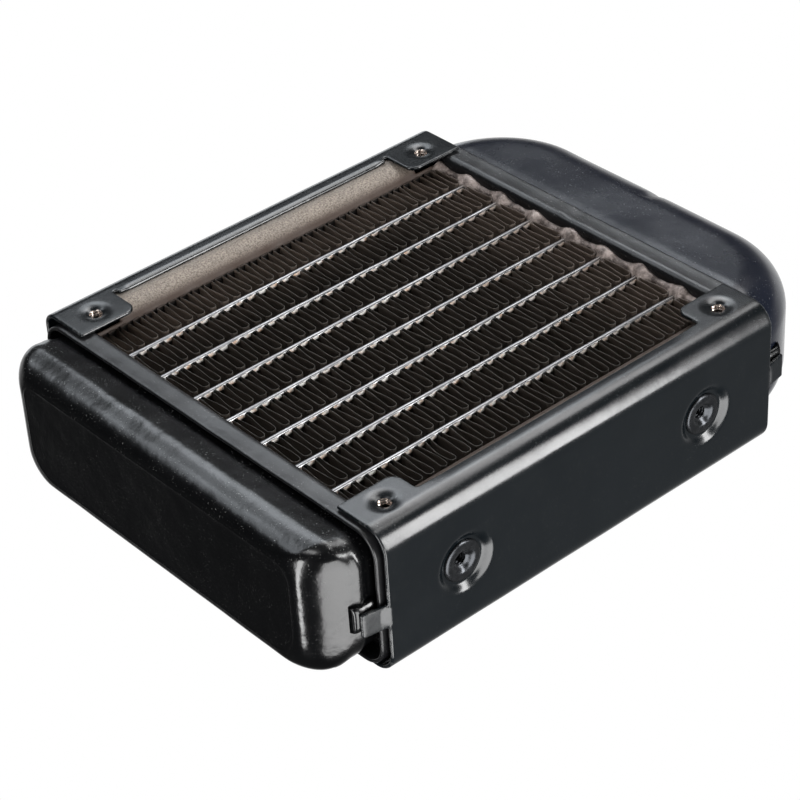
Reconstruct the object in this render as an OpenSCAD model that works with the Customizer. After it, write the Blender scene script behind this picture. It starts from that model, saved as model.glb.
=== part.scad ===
// Single-fan liquid cooling radiator: a core of flat tubes and corrugated fins,
// a header plate and a soldered tank at each end, and two folded side panels
// that carry the fan screws. The origin is the centre of the lower fan-hole
// square, on the plane that the radiator rests on. +X points at the tank with
// the ports, +Z at the upper fan face. Left is +Y and right is -Y.

/* [Fan mounting] */
// Side of the square of fan screw holes
fan_pitch = 105; // [104:0.5:106]
// Bore of a tapped screw hole, the minor diameter of its thread
screw_bore_d = 2.8; // [2.5:0.1:3.3]
// Diameter of the rolled-in funnel round a fan screw hole
funnel_d = 6.4; // [5:0.2:8]
// Outside diameter of the collar drawn down round a fan screw hole
collar_d = 4.8; // [4.4:0.2:6]
// How far the collar reaches below the sheet
collar_h = 1.6; // [1:0.1:2.2]

/* [Side panels] */
// Length of a side panel
panel_l = 121.8; // [120:0.2:123]
// Width over both side panels
body_w = 124.6; // [123:0.2:126]
// Height of the side panels, and of the whole radiator
body_h = 39.6; // [38:0.2:44]
// Sheet thickness of the side panels
panel_t = 1; // [0.8:0.1:1.2]
// Outside radius of a side panel's long bends
panel_bend_r = 5; // [3.5:0.1:5.5]
// Width of the lip that a panel turns over the core
lip_w = 8; // [7.6:0.1:8.6]
// Length of a corner tab along the panel
tab_l = 16.6; // [14:0.2:18]
// Width of a corner tab, from the panel's outside
tab_w = 15.8; // [14:0.2:17]
// Radius of a corner tab's free corner
tab_corner_r = 3; // [1:0.5:5]
// Width of the relief notch between a tab and the lip
notch_w = 1.2; // [0.8:0.1:2]
// Width of the clip tongue at each end of a panel
tongue_w = 6.4; // [5:0.2:8]
// How far a clip tongue reaches past the end of its panel
tongue_l = 6.4; // [5.4:0.2:7]
// How far a clip tongue sits below the middle of its panel
tongue_drop = 1.6; // [0:0.1:2.4]

/* [Side screw points] */
// Distance between the two screw points of a panel
side_pitch = 76.8; // [72:0.2:80]
// Diameter of the pressed dish round a side screw point
dish_d = 16.5; // [14:0.5:20]
// Depth of the pressed dish
dish_depth = 1.4; // [1:0.1:2]
// Width of the dish's sloping wall
dish_wall = 2; // [1:0.5:3]
// Diameter of the threaded insert's flange
insert_flange_d = 10.6; // [9:0.2:12]
// Thickness of the threaded insert's flange
insert_flange_t = 0.8; // [0.5:0.1:1.2]
// Diameter of the threaded insert's barrel
insert_barrel_d = 6.4; // [5.4:0.2:7.4]
// Length of the threaded insert, flange included
insert_l = 6; // [4:0.5:7]
// Diameter of the countersink in a threaded insert
sink_d = 5; // [4:0.2:6]
// Depth of the countersink in a threaded insert
sink_h = 1.1; // [0.8:0.1:1.5]

/* [Core] */
// Distance between the centres of two tubes
tube_pitch = 12.4; // [12:0.1:12.6]
// Thickness of a flat tube
tube_t = 2; // [1.6:0.1:2.4]
// Wall of a flat tube
tube_wall = 0.3; // [0.2:0.05:0.4]
// Depth of the core: the width of a flat tube and of a fin strip
core_depth = 31; // [28:0.5:32]
// How far a tube reaches through its header plate
tube_overrun = 1.2; // [0.5:0.1:2]
// Length of one full wave of a fin strip
fin_wave = 3.65; // [3.4:0.05:4]
// Thickness of the fin sheet
fin_t = 0.15; // [0.1:0.05:0.2]
// Half the width of a fin's hairpin where it opens, at the left-hand tube
fin_neck = 0.5; // [0.4:0.05:0.8]
// Half the width of a fin's hairpin at its belly
fin_belly = 1.1; // [0.9:0.05:1.3]
// Half the width of a fin's hairpin at its closed tip, by the right-hand tube
fin_tip = 0.45; // [0.3:0.05:0.7]
// Sheet thickness of the core's own side plates
core_side_t = 0.8; // [0.6:0.1:1]
// How far the core side plates tuck in under the panels' lips
core_side_tuck = 2.4; // [1.5:0.1:2.8]

/* [Headers] */
// Distance between the inner faces of the two header plates
header_gap = 112; // [111:0.5:113]
// Sheet thickness of the headers
header_t = 1; // [0.8:0.1:1.2]
// Depth of a header, from the inner face to the edge of its rim
header_depth = 6.2; // [5:0.1:7]
// Width of a header across its rim
header_w = 118.6; // [116:0.2:119]
// Gap between a header's rim and the fan planes
header_inset = 1.2; // [1.1:0.1:2]
// Corner radius of a header's rim
header_corner_r = 7; // [5:0.5:9]

/* [Tanks] */
// Sheet thickness of the tanks
tank_t = 0.9; // [0.7:0.1:1.1]
// Width of the tanks
tank_w = 119.2; // [118:0.2:119.4]
// Gap between a tank's crown and the fan planes
tank_inset = 1.5; // [1.3:0.1:2]
// How far the return tank reaches from the middle of the radiator
return_reach = 77.6; // [75:0.2:80]
// Edge radius of the return tank
return_edge_r = 9.5; // [8:0.5:11]
// How far the port tank reaches from the middle of the radiator
port_reach = 88.2; // [85:0.2:92]
// Plan corner radius of the port tank
port_corner_r = 30; // [26:0.2:32]
// Edge radius of the port tank
port_edge_r = 11.6; // [8:0.2:13]

/* [Ports] */
// Distance between the two ports
port_pitch = 52; // [48:1:56]
// Distance of the ports from the middle of the radiator
port_x = 73.4; // [72:0.2:75]
// Bore of a port, the minor diameter of its pipe thread
port_bore_d = 11.44; // [11.2:0.02:11.6]
// Outside diameter of a port fitting
fitting_d = 18.6; // [16:0.2:20]
// Height of a port fitting
fitting_h = 6.4; // [5:0.2:8]

/* [Hidden] */

TUBE_COUNT = 7;
LEFT = 1;
RIGHT = -1;
PORT_END = 1;
RETURN_END = -1;
ROUND_FN = 64;
BLEND_FN = 32;
CUT = 0.5;
EPS = 0.01;
collar_gap = 0.4;

mid_z = body_h / 2;
half_w = body_w / 2;
half_l = panel_l / 2;
inner_h = body_h - 2 * panel_t;
core_z = mid_z - core_depth / 2;
header_face_x = header_gap / 2;
header_back_x = header_face_x + header_t;
rim_x = header_face_x + header_depth;
neck_w = header_w - 2 * header_t;
neck_h = body_h - 2 * header_inset - 2 * header_t;
neck_corner_r = header_corner_r - header_t;
tank_h = body_h - 2 * tank_inset;
fin_h = tube_pitch - tube_t;
fin_waves = floor((header_gap - 2) / fin_wave);
fin_row_y = tube_pitch / 2;
core_side_y = (TUBE_COUNT - 1) / 2 * tube_pitch + tube_t / 2 + fin_h;
divider_y = tube_pitch / 2;

black = [0.09, 0.09, 0.1];
dull_black = [0.16, 0.16, 0.17];
silver = [0.62, 0.62, 0.64];
dark_copper = [0.2, 0.14, 0.1];
primer = [0.55, 0.5, 0.45];
steel = [0.35, 0.35, 0.37];

// ---- shared shapes ----

// Rectangle with round corners, centred, made of true arcs.
module round_rect(w, h, r) {
  square([w - 2 * r, h], center = true);
  square([w, h - 2 * r], center = true);
  for (sx = [-1, 1], sy = [-1, 1])
    translate([sx * (w / 2 - r), sy * (h / 2 - r)]) circle(r, $fn = ROUND_FN);
}

// Extrudes a shape drawn in Y (across) and Z (up) from x0 to x1, at mid-height.
module along_x(x0, x1) {
  translate([x0, 0, mid_z]) rotate([90, 0, 90]) linear_extrude(x1 - x0) children();
}

// Turns a shape built for the port end to the end asked for.
module at_end(end) {
  mirror([end == RETURN_END ? 1 : 0, 0, 0]) children();
}

// Turns a shape built for the left side to the side asked for.
module at_side(side) {
  mirror([0, side == RIGHT ? 1 : 0, 0]) children();
}

// Section of a flat tube: thin across Y, deep along Z.
module tube_section(t, depth) {
  square([t, depth - t], center = true);
  for (s = [-1, 1]) translate([0, s * (depth - t) / 2]) circle(t / 2, $fn = ROUND_FN);
}

// ---- tanks and headers ----

// The straight neck of a tank, which slides into its header's rim.
module neck_block(grow, x0, x1) {
  along_x(x0, x1) round_rect(neck_w + 2 * grow, neck_h + 2 * grow, neck_corner_r + grow);
}

// The bulging body of the return tank, moved in by the sheet thickness for its cavity.
module return_bulge(grow) {
  r = return_edge_r;
  hull()
    for (sy = [-1, 1], sz = [-1, 1])
      translate([return_reach - r, sy * (tank_w / 2 - r), mid_z + sz * (tank_h / 2 - r)])
        sphere(r + grow, $fn = BLEND_FN);
}

// The deep body of the port tank, with large round corners in plan.
module port_bulge(grow) {
  r = port_edge_r;
  cx = port_reach - port_corner_r;
  cy = tank_w / 2 - port_corner_r;
  intersection() {
    hull()
      for (sy = [-1, 1], sz = [-1, 1])
        translate([cx, sy * cy, mid_z + sz * (tank_h / 2 - r)])
          rotate_extrude($fn = ROUND_FN)
            translate([port_corner_r - r, 0]) circle(r + grow, $fn = BLEND_FN);
    translate([rim_x + CUT - grow, -body_w, -body_h]) cube([port_reach, 2 * body_w, 3 * body_h]);
  }
}

module tank_return() {
  color(black) at_end(RETURN_END) difference() {
    union() {
      neck_block(0, header_back_x, return_reach - return_edge_r);
      return_bulge(0);
    }
    neck_block(-tank_t, header_back_x - CUT, return_reach - return_edge_r);
    return_bulge(-tank_t);
  }
}

module port_cavity() {
  neck_block(-tank_t, header_back_x, rim_x + 2 * CUT + tank_t);
  port_bulge(-tank_t);
}

module tank_port() {
  color(black) difference() {
    union() {
      neck_block(0, header_back_x, rim_x + 2 * CUT);
      port_bulge(0);
    }
    neck_block(-tank_t, header_back_x - CUT, rim_x + 2 * CUT + tank_t);
    port_bulge(-tank_t);
    for (sy = [-1, 1])
      translate([port_x, sy * port_pitch / 2, -CUT])
        cylinder(h = fitting_h, d = fitting_d, $fn = ROUND_FN);
  }
}

// Header: a plate with a slot for each tube and a rim that the tank's neck fits.
module header(end) {
  rim_h = body_h - 2 * header_inset;
  color(dull_black) at_end(end) difference() {
    along_x(header_face_x, rim_x) round_rect(header_w, rim_h, header_corner_r);
    neck_block(0, header_back_x, rim_x + CUT);
    for (i = [1 : TUBE_COUNT])
      translate([0, tube_y(i), 0])
        along_x(header_face_x - CUT, header_back_x + CUT) tube_section(tube_t, core_depth);
  }
}

// Baffle that parts the port tank, so that the coolant goes out and back through the core.
module port_divider() {
  color(steel) intersection() {
    port_cavity();
    translate([header_back_x, divider_y - tank_t / 2, 0])
      cube([port_reach, tank_t, body_h]);
  }
}

module port_fitting(side) {
  color(silver) translate([port_x, side * port_pitch / 2, 0]) difference() {
    cylinder(h = fitting_h, d = fitting_d, $fn = ROUND_FN);
    translate([0, 0, -CUT]) cylinder(h = fitting_h + 2 * CUT, d = port_bore_d, $fn = ROUND_FN);
  }
}

// ---- core ----

function tube_y(i) = (i - (TUBE_COUNT + 1) / 2) * tube_pitch;

module tube(i) {
  tube_end = header_back_x + tube_overrun;
  color(silver) translate([0, tube_y(i), 0]) difference() {
    along_x(-tube_end, tube_end) tube_section(tube_t, core_depth);
    along_x(-tube_end - CUT, tube_end + CUT)
      tube_section(tube_t - 2 * tube_wall, core_depth - 2 * tube_wall);
  }
}

// Centre line of the fin sheet: a row of hairpins, each closed at its right-hand end.
function fin_line() = let (
    crest_y = (fin_h - fin_t) / 2,
    shoulder_y = -crest_y * 2 / 3,
    hairpin = [
      [-fin_neck, crest_y], [-fin_belly, shoulder_y], [-fin_tip, -crest_y],
      [fin_tip, -crest_y], [fin_belly, shoulder_y], [fin_neck, crest_y]
    ]
  ) [for (w = [0 : fin_waves - 1], p = hairpin) [(w - (fin_waves - 1) / 2) * fin_wave, 0] + p];

// Unit vector from a to b, turned a quarter turn to the left.
function left_of(a, b) = [a.y - b.y, b.x - a.x] / norm(b - a);

// Corner k of one face of a bent sheet that lies off from its centre line.
function face_corner(line, k, off) = let (
    before = left_of(line[max(k - 1, 0)], line[max(k, 1)]),
    after = left_of(line[min(k, len(line) - 2)], line[min(k + 1, len(line) - 1)])
  ) line[k] + off * (before + after) / (1 + before * after);

// Fin strip i: one folded sheet between two tubes, or between a tube and a core side.
module fin_strip(i) {
  line = fin_line();
  last = len(line) - 1;
  upper = [for (k = [0 : last]) face_corner(line, k, fin_t / 2)];
  lower = [for (k = [last : -1 : 0]) face_corner(line, k, -fin_t / 2)];
  color(dark_copper) translate([0, tube_y(i) - fin_row_y, core_z])
    linear_extrude(core_depth) polygon(concat(upper, lower));
}

// Section of a core side: a web on the last fins, and flanges that curl out under the lips.
module core_side_section() {
  reach = half_w - lip_w - core_side_y + core_side_tuck;
  rise = (inner_h - core_depth) / 2 + core_side_t;
  steps = 8;
  flange = function (inset, turn) [
    core_side_y + reach - (reach - inset) * cos(turn),
    inner_h / 2 - rise + (rise - inset) * sin(turn)
  ];
  outer = [for (s = [0 : steps]) flange(0, 90 * s / steps)];
  inner = [for (s = [steps : -1 : 0]) flange(core_side_t, 90 * s / steps)];
  upper = concat(outer, inner);
  lower = [for (k = [len(upper) - 1 : -1 : 0]) [upper[k][0], -upper[k][1]]];
  polygon(concat(upper, lower));
}

module core_side(side) {
  color(primer) at_side(side) difference() {
    along_x(-header_face_x, header_face_x) core_side_section();
    for (sx = [-1, 1])
      translate([sx * fan_pitch / 2, fan_pitch / 2, -CUT])
        cylinder(h = body_h + 2 * CUT, d = collar_d + 2 * collar_gap, $fn = ROUND_FN);
  }
}

// ---- side panels ----

// Section of a panel: a web, two round bends, and a lip over each fan face.
module panel_section(reach) {
  intersection() {
    difference() {
      round_rect(body_w, body_h, panel_bend_r);
      round_rect(body_w - 2 * panel_t, inner_h, panel_bend_r - panel_t);
    }
    translate([half_w - reach, -body_h]) square([reach + CUT, 2 * body_h]);
  }
}

// Plan of a corner tab, with its free corner rounded.
module tab_plan() {
  x0 = half_l - tab_l;
  y0 = half_w - tab_w;
  y1 = half_w - panel_bend_r;
  difference() {
    union() {
      translate([x0 + tab_corner_r, y0]) square([tab_l - tab_corner_r, y1 - y0]);
      translate([x0, y0 + tab_corner_r]) square([tab_l, y1 - y0 - tab_corner_r]);
      translate([x0, y0] + [tab_corner_r, tab_corner_r]) circle(tab_corner_r, $fn = ROUND_FN);
    }
    translate([fan_pitch / 2, fan_pitch / 2]) circle(d = screw_bore_d, $fn = ROUND_FN);
  }
}

// Relief notch cut into the lip beside a tab.
module notch_plan() {
  x = half_l - tab_l - notch_w / 2;
  y = half_w - lip_w;
  translate([x - notch_w / 2, y - CUT]) square([notch_w, CUT + notch_w / 2]);
  translate([x, y + notch_w / 2]) circle(d = notch_w, $fn = ROUND_FN);
}

// Corner tab on the upper fan face, with a drawn collar under its screw hole.
module corner_tab() {
  funnel_h = panel_t / 2;
  translate([0, 0, body_h - panel_t]) difference() {
    union() {
      linear_extrude(panel_t) tab_plan();
      translate([fan_pitch / 2, fan_pitch / 2, -collar_h])
        cylinder(h = collar_h + panel_t / 2, d = collar_d, $fn = ROUND_FN);
    }
    translate([fan_pitch / 2, fan_pitch / 2, -collar_h - CUT])
      cylinder(h = collar_h + panel_t + CUT, d = screw_bore_d, $fn = ROUND_FN);
    translate([fan_pitch / 2, fan_pitch / 2, panel_t - funnel_h])
      cylinder(h = funnel_h, d1 = screw_bore_d, d2 = funnel_d, $fn = ROUND_FN);
  }
}

// Tongue that runs from the end of a panel, over the header's rim, onto the tank.
module clip_tongue() {
  tongue_t = 0.8;
  joggle = 1.7;
  outside_y = half_w - (panel_t - tongue_t) / 2;
  root_x = half_l + 0.5;
  translate([0, 0, mid_z - tongue_drop - tongue_w / 2]) linear_extrude(tongue_w)
    polygon([
      [half_l - CUT, outside_y - tongue_t], [root_x, outside_y - tongue_t],
      [root_x + joggle, outside_y - tongue_t - joggle],
      [half_l + tongue_l, outside_y - tongue_t - joggle],
      [half_l + tongue_l, outside_y - joggle], [root_x + joggle, outside_y - joggle],
      [root_x, outside_y], [half_l - CUT, outside_y]
    ]);
}

// Puts a shape at each of a panel's two side screw points, its own Z pointing outward.
module at_side_screws(depth) {
  for (sx = [-1, 1])
    translate([sx * side_pitch / 2, half_w - depth, mid_z]) rotate([-90, 0, 0]) children();
}

module side_panel(side) {
  dish_floor = dish_depth + panel_t;
  color(black) at_side(side) difference() {
    union() {
      along_x(-half_l, half_l) panel_section(lip_w);
      for (mx = [0, 1], mz = [0, 1])
        mirror([mx, 0, 0]) translate([0, 0, mz * body_h]) mirror([0, 0, mz]) corner_tab();
      for (mx = [0, 1]) mirror([mx, 0, 0]) clip_tongue();
      at_side_screws(dish_floor) cylinder(h = dish_depth, d = dish_d, $fn = ROUND_FN);
    }
    at_side_screws(dish_depth)
      cylinder(h = dish_depth + CUT, d1 = dish_d - 2 * dish_wall, d2 = dish_d, $fn = ROUND_FN);
    at_side_screws(dish_floor + CUT)
      cylinder(h = dish_floor, d = insert_barrel_d, $fn = ROUND_FN);
    for (mx = [0, 1])
      mirror([mx, 0, 0]) translate([0, 0, -CUT]) linear_extrude(body_h + 2 * CUT) notch_plan();
  }
}

// The two threaded inserts of a side panel.
module side_inserts(side) {
  color(steel) at_side(side) at_side_screws(dish_depth + insert_l - insert_flange_t)
    difference() {
      union() {
        cylinder(h = insert_l, d = insert_barrel_d, $fn = ROUND_FN);
        translate([0, 0, insert_l - insert_flange_t])
          cylinder(h = insert_flange_t, d = insert_flange_d, $fn = ROUND_FN);
      }
      translate([0, 0, -CUT]) cylinder(h = insert_l + 2 * CUT, d = screw_bore_d, $fn = ROUND_FN);
      translate([0, 0, insert_l - sink_h])
        cylinder(h = sink_h + EPS, d1 = screw_bore_d, d2 = sink_d, $fn = ROUND_FN);
    }
}

tank_return();
tank_port();
header(RETURN_END);  // header_return
header(PORT_END);  // header_port
port_divider();
port_fitting(RIGHT);  // port_fitting_inlet
port_fitting(LEFT);  // port_fitting_outlet
for (i = [1 : TUBE_COUNT]) tube(i);
for (i = [1 : TUBE_COUNT + 1]) fin_strip(i);
core_side(LEFT);  // core_side_left
core_side(RIGHT);  // core_side_right
side_panel(LEFT);  // side_panel_left
side_panel(RIGHT);  // side_panel_right
side_inserts(LEFT);  // side_inserts_left
side_inserts(RIGHT);  // side_inserts_right
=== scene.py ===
"""Looks of a liquid cooling radiator for one computer fan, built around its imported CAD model.

Everything is in metres in the CAD's frame: +X towards the port tank, +Y the left side, +Z up.
"""

import math
import random

import bmesh
import bpy
import numpy as np
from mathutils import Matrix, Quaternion, Vector, geometry, noise


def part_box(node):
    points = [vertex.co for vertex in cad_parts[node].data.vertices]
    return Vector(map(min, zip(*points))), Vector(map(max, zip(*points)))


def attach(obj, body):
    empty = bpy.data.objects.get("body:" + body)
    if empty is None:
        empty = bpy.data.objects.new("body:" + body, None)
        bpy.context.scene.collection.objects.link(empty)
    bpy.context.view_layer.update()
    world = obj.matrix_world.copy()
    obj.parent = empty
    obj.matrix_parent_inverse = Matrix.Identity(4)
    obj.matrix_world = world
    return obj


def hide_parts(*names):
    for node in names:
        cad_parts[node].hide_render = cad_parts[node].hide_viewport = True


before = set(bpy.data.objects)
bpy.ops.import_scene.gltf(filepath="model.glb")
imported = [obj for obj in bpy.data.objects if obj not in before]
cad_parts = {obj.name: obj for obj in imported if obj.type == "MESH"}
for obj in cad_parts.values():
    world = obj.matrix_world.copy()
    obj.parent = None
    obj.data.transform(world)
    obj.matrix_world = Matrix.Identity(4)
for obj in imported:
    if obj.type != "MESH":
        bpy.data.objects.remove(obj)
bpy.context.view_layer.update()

MM = 0.001
PANEL_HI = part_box("side_panel_left")[1]
HEADER_LO, HEADER_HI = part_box("header_port")
RETURN_LO, RETURN_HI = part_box("tank_return")
PORT_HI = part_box("tank_port")[1]
TUBE_LO, TUBE_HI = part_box("tube_4")
CORE_LO, CORE_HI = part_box("core_side_left")

BODY_H = PANEL_HI[2]
MID_Z = BODY_H / 2
HALF_W = PANEL_HI[1]
TONGUE_L = 6.4 * MM
HALF_L = PANEL_HI[0] - TONGUE_L
FAN_HALF = 52.5 * MM
PLATE_X = HEADER_LO[0]
RIM_X = HEADER_HI[0]
TUBE_PITCH = 12.4 * MM
LEFT, RIGHT = 1, -1
PORT_END, RETURN_END = 1, -1
SIDE_NAME = {LEFT: "left", RIGHT: "right"}
END_NAME = {PORT_END: "port", RETURN_END: "return"}
TANK_T = 0.9 * MM


# ---- mesh helpers


def smoothstep(x):
    x = min(max(x, 0.0), 1.0)
    return x * x * (3 - 2 * x)


def wobble(x, y, z, size, amount):
    """Smooth noise of one sign or the other, with features about size across."""
    return amount * noise.noise(Vector((x, y, z)) / size)


def set_normals(mesh):
    """Smooth shading with normals weighted by face area, so that flats stay flat beside small bends."""
    count = len(mesh.vertices)
    normals = np.zeros((count, 3))
    for poly in mesh.polygons:
        add = np.array(poly.normal) * poly.area
        for i in poly.vertices:
            normals[i] += add
    length = np.linalg.norm(normals, axis=1, keepdims=True)
    mesh.normals_split_custom_set_from_vertices(normals / np.maximum(length, 1e-12))


def new_object(name, data):
    obj = bpy.data.objects.new(name, data)
    bpy.context.scene.collection.objects.link(obj)
    return obj


def piece(name, verts, faces, materials, stands_for=(), marks=None, crease=None, wear_and_highlight=None):
    """A mesh object that rides on the radiator. marks gives each face's material."""
    mesh = bpy.data.meshes.new(name)
    mesh.from_pydata([tuple(v) for v in verts], [], faces)
    for material in materials:
        mesh.materials.append(material)
    if marks is not None:
        mesh.polygons.foreach_set("material_index", marks)
    mesh.polygons.foreach_set("use_smooth", [True] * len(mesh.polygons))
    # A per-vertex mask for worn edges and painted highlights, read by the materials.
    if wear_and_highlight is not None:
        layer = mesh.attributes.new("wear_and_highlight", "FLOAT", "POINT")
        layer.data.foreach_set("value", wear_and_highlight)
    bm = bmesh.new()
    bm.from_mesh(mesh)
    bmesh.ops.recalc_face_normals(bm, faces=bm.faces)
    bm.to_mesh(mesh)
    bm.free()
    if crease is None:
        set_normals(mesh)
    else:
        mesh.set_sharp_from_angle(angle=math.radians(crease))
    obj = new_object(name, mesh)
    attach(obj, "root")
    if stands_for:
        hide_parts(*stands_for)


def strip_faces(ring_a, ring_b, closed=True):
    """Quads between two rows of vertex numbers of equal length."""
    n = len(ring_a)
    last = n if closed else n - 1
    return [(ring_a[i], ring_a[(i + 1) % n], ring_b[(i + 1) % n], ring_b[i]) for i in range(last)]


def skin(rows, closed=True):
    """Quads between each row of vertex numbers and the next."""
    return [quad for a, b in zip(rows, rows[1:]) for quad in strip_faces(a, b, closed)]


def thicken(verts, faces, thickness):
    """Turns an open surface whose faces look outward into a closed shell, thickened inward."""
    verts = np.asarray(verts, float)
    n = len(verts)
    normals = np.zeros((n, 3))
    edges = {}
    for face in faces:
        p = verts[list(face)]
        normal = np.cross(p[1] - p[0], p[2] - p[0])
        if len(face) == 4:
            normal = normal + np.cross(p[2] - p[0], p[3] - p[0])
        for k, i in enumerate(face):
            normals[i] += normal
            j = face[(k + 1) % len(face)]
            if (j, i) in edges:
                del edges[(j, i)]
            else:
                edges[(i, j)] = True
    normals /= np.maximum(np.linalg.norm(normals, axis=1, keepdims=True), 1e-15)
    inner = verts - normals * thickness
    all_faces = list(faces)
    all_faces += [tuple(i + n for i in reversed(face)) for face in faces]
    all_faces += [(j, i, i + n, j + n) for (i, j) in edges]
    return np.vstack([verts, inner]), all_faces


def rounded(corners, step):
    """Closed outline through (x, y, radius) corners, with an arc at each, sampled every step."""
    arcs = []
    n = len(corners)
    for i, (x, y, r) in enumerate(corners):
        p = Vector((x, y))
        u = (Vector(corners[i - 1][:2]) - p).normalized()
        w = (Vector(corners[(i + 1) % n][:2]) - p).normalized()
        half = u.angle(w) / 2
        centre = p + (u + w).normalized() * (r / math.sin(half))
        start = p + u * (r / math.tan(half)) - centre
        end = p + w * (r / math.tan(half)) - centre
        a0 = math.atan2(start.y, start.x)
        sweep = math.remainder(math.atan2(end.y, end.x) - a0, 2 * math.pi)
        k = max(4, math.ceil(abs(sweep) * r / step))
        arcs.append([centre + Vector((math.cos(a), math.sin(a))) * r
                     for a in (a0 + sweep * j / k for j in range(k + 1))])
    points = []
    for i, arc in enumerate(arcs):
        points += arc
        gap = arcs[(i + 1) % n][0] - arc[-1]
        k = max(1, math.ceil(gap.length / step))
        points += [arc[-1] + gap * (j / k) for j in range(1, k)]
    return np.array([tuple(p) for p in points])


def inset(outline, distance):
    """The outline (anticlockwise) moved inward."""
    before = outline - np.roll(outline, 1, axis=0)
    after = np.roll(outline, -1, axis=0) - outline
    n1 = np.stack([before[:, 1], -before[:, 0]], 1)
    n2 = np.stack([after[:, 1], -after[:, 0]], 1)
    n1 /= np.linalg.norm(n1, axis=1, keepdims=True)
    n2 /= np.linalg.norm(n2, axis=1, keepdims=True)
    both = n1 + n2
    both /= np.maximum(1 + (n1 * n2).sum(1, keepdims=True), 0.3)
    return outline - both * distance


def inside(points, outline):
    """Which points lie inside a closed outline."""
    x, y = points[:, 0:1], points[:, 1:2]
    ax, ay = outline[:, 0], outline[:, 1]
    bx, by = np.roll(ax, -1), np.roll(ay, -1)
    crosses = (ay > y) != (by > y)
    slope = (bx - ax) / np.where(by == ay, 1e-30, by - ay)
    return (crosses & (x < ax + (y - ay) * slope)).sum(1) % 2 == 1


def fill(outline, circles, lines_u, lines_v, clearance):
    """Triangles over the inside of outline, less the circles, on a regular net of points.
    Returns points and triangles; the outline's points come first, then each circle's."""
    loops = [outline] + circles
    edge = np.vstack(loops)
    net = np.array([(u, v) for u in lines_u for v in lines_v])
    keep = inside(net, outline)
    for circle in circles:
        keep &= ~inside(net, circle)
    net = net[keep]
    near = np.full(len(net), 1e9)
    for k in range(0, len(edge), 200):
        d = np.linalg.norm(net[:, None] - edge[None, k:k + 200], axis=2).min(1)
        near = np.minimum(near, d)
    net = net[near > clearance]
    points = np.vstack([edge, net])
    links, at = [], 0
    for loop in loops:
        m = len(loop)
        links += [(at + i, at + (i + 1) % m) for i in range(m)]
        at += m
    scale = 1000.0
    out = geometry.delaunay_2d_cdt([Vector(p * scale) for p in points], links, [], 0, 1e-6)
    source = [ids[0] for ids in out[3]]
    tris = np.array([[source[i] for i in face] for face in out[2]])
    centre = points[tris].mean(1)
    keep = inside(centre, outline)
    for circle in circles:
        keep &= ~inside(centre, circle)
    return points, [tuple(t) for t in tris[keep]]


def bent_sheet(outline, holes, lines_u, lines_v, thickness, edge, place):
    """A sheet cut to outline, with rounded cut edges and shaped holes, bent by place(u, v, h).
    h is the height over the outer face, which is 0 there and -thickness on the inner face.
    Each hole is (u, v, profile, thread), its profile running from the outer face to the inner."""
    verts, faces, wear_and_highlight = [], [], []
    turns = 56
    angles = [2 * math.pi * k / turns for k in range(turns)]

    def circle(u, v, r):
        return np.array([(u + r * math.cos(a), v + r * math.sin(a)) for a in angles])

    def add(points, h, worn_and_lit=0.0):
        first = len(verts)
        heights = h if hasattr(h, "__len__") else [h] * len(points)
        verts.extend(place(p[0], p[1], q) for p, q in zip(points, heights))
        wear_and_highlight.extend([worn_and_lit] * len(points))
        return list(range(first, first + len(points)))

    skins = []
    for end in (0, -1):
        circles = [circle(u, v, profile[end][0]) for u, v, profile, _ in holes]
        points, tris = fill(inset(outline, edge), circles, lines_u, lines_v, 0.45 * MM)
        ids = add(points, 0.0 if end == 0 else -thickness)
        faces += [tuple(ids[i] for i in (t if end == 0 else t[::-1])) for t in tris]
        loops, at = [], 0
        for m in [len(outline)] + [turns] * len(circles):
            loops.append(ids[at:at + m])
            at += m
        skins.append(loops)
    steps = 4
    turned = [math.pi / 2 * k / steps for k in range(1, steps + 1)]
    band = [(edge * (1 - math.sin(a)), -edge * (1 - math.cos(a))) for a in turned]
    band += [(d, -thickness - h) for d, h in reversed(band)]
    # The rounded cut edge is marked for wear and for a painted highlight.
    rings = [add(inset(outline, d), h, 1.0) for d, h in band]
    faces += skin(skins[0][:1] + rings + skins[1][:1])
    marks = [0] * len(faces)
    for (u, v, profile, thread), top, low in zip(holes, skins[0][1:], skins[1][1:]):
        rings = [add([(u + x, v + y) for x, y in round_row(row, angles, thread)], row[1])
                 for row in profile[1:-1]]
        faces += skin([top] + rings + [low])
        marks += thread_marks(profile, turns)
    return verts, faces, marks, wear_and_highlight


def thread_radius(h, angle, thread):
    """Radius of a screw thread's flank at height h: thread is (mean radius, depth, pitch)."""
    mean, depth, pitch = thread
    phase = (h / pitch + angle / (2 * math.pi)) % 1
    return mean + depth * (abs(phase - 0.5) * 2 - 0.5)


def round_row(row, angles, thread):
    """The (x, y) points of one row (r, h[, 1 if threaded]) of a round profile."""
    r, h, *threaded = row
    radii = [thread_radius(h, a, thread) if threaded else r for a in angles]
    return [(q * math.cos(a), q * math.sin(a)) for q, a in zip(radii, angles)]


def thread_marks(profile, turns):
    """Each quad's material along a profile: 1 between two threaded rows."""
    return [1 if a[2:] and b[2:] else 0 for a, b in zip(profile, profile[1:]) for _ in range(turns)]


def revolve(profile, thread, turns, place):
    """Surface of revolution of a closed profile; place(x, y, h)."""
    angles = [2 * math.pi * k / turns for k in range(turns)]
    verts, rings = [], []
    for row in profile:
        rings.append(list(range(len(verts), len(verts) + turns)))
        verts += [place(x, y, row[1]) for x, y in round_row(row, angles, thread)]
    return verts, skin(rings + rings[:1]), thread_marks(profile + profile[:1], turns)


def thread_rows(r, top, bottom, pitch):
    """Profile rows, eight a pitch, for the threaded part of a hole."""
    n = math.ceil((top - bottom) / (pitch / 8))
    return [(r, top + (bottom - top) * k / n, 1) for k in range(n + 1)]


# ---- materials


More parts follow.
